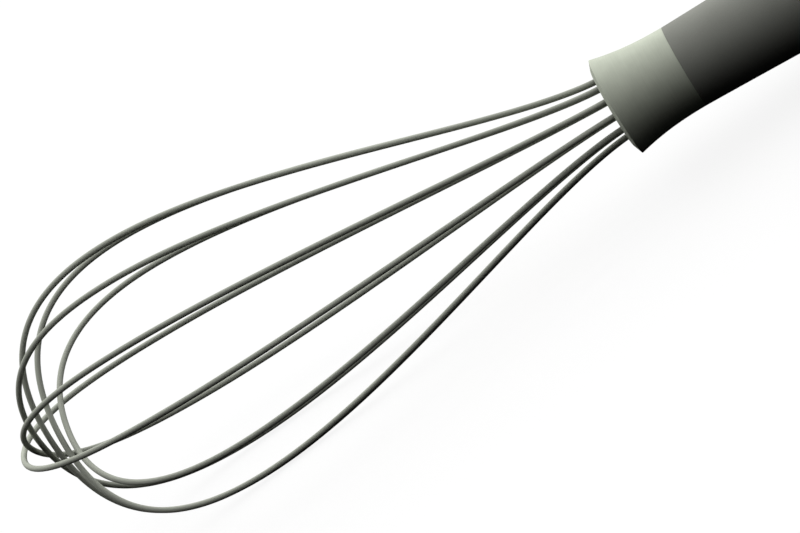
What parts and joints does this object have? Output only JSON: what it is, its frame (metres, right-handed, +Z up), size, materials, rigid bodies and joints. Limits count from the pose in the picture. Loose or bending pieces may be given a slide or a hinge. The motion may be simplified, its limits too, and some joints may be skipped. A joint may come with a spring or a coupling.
{
  "type": "balloon whisk",
  "caption": "Balloon whisk with nested spring-wire loops hooked into a holder inside a flared metal collar, on a round grey handle with a hanging eye.",
  "frame": {"origin": "middle of the footprint on the table that the whisk lies on", "axes": "+X along the whisk's length, from the cage's tip to the hanging eye; +Z up from the table; the hanging eye's hole runs along Y"},
  "size_m": [0.3062, 0.0688, 0.0695],
  "materials": {
    "wire": "satin drawn stainless spring wire",
    "collar_metal": "fine satin",
    "seal_rubber": "matte",
    "holder_nylon": "moulded matte",
    "fastener_steel": "plain",
    "core_plastic": "moulded matte",
    "grip": "soft matte, finely textured",
    "cap_plastic": "moulded matte"
  },
  "bodies": {
    "root": {"wire_loop_1": "wire", "wire_loop_2": "wire", "wire_loop_3": "wire", "wire_loop_4": "wire", "wire_loop_5": "wire", "wire_loop_6": "wire", "collar": "collar_metal", "mouth_seal": "seal_rubber", "wire_holder": "holder_nylon", "hook_plate": "fastener_steel", "holder_screw": "fastener_steel", "handle_core": "core_plastic", "grip_sleeve": "grip", "end_cap": "cap_plastic"}
  },
  "joints": []
}
